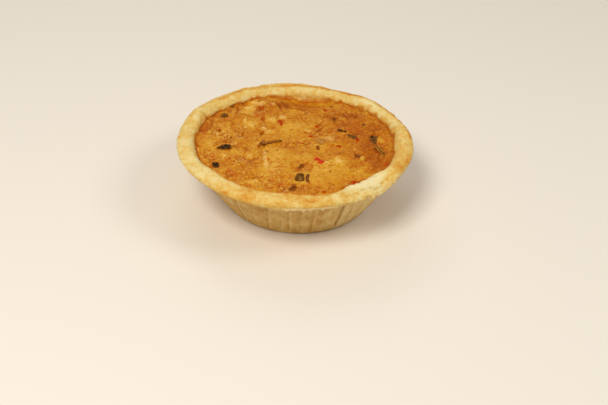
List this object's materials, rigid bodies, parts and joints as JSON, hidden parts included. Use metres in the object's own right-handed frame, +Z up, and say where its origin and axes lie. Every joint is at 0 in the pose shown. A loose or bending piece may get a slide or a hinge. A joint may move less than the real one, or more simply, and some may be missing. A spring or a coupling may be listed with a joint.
{
  "type": "crawfish pie",
  "caption": "Individual open-faced crawfish pie: pastry shell with a thick soft rim and fluted wall, filled with browned filling flecked with herbs and red pepper.",
  "frame": {"origin": "middle of the pie's outline, on the surface that it stands on", "axes": "+Z up, out of the filling; -Y towards the side shown in front; +X to that side's right"},
  "size_m": [0.1256, 0.1264, 0.0361],
  "materials": {
    "pastry": "baked golden pastry, matt, paler on the rim's inner side",
    "filling": "browned egg-bound filling, finely crinkled, with a slight moist sheen"
  },
  "bodies": {
    "root": {"crust": "pastry", "filling": "filling"}
  },
  "joints": []
}
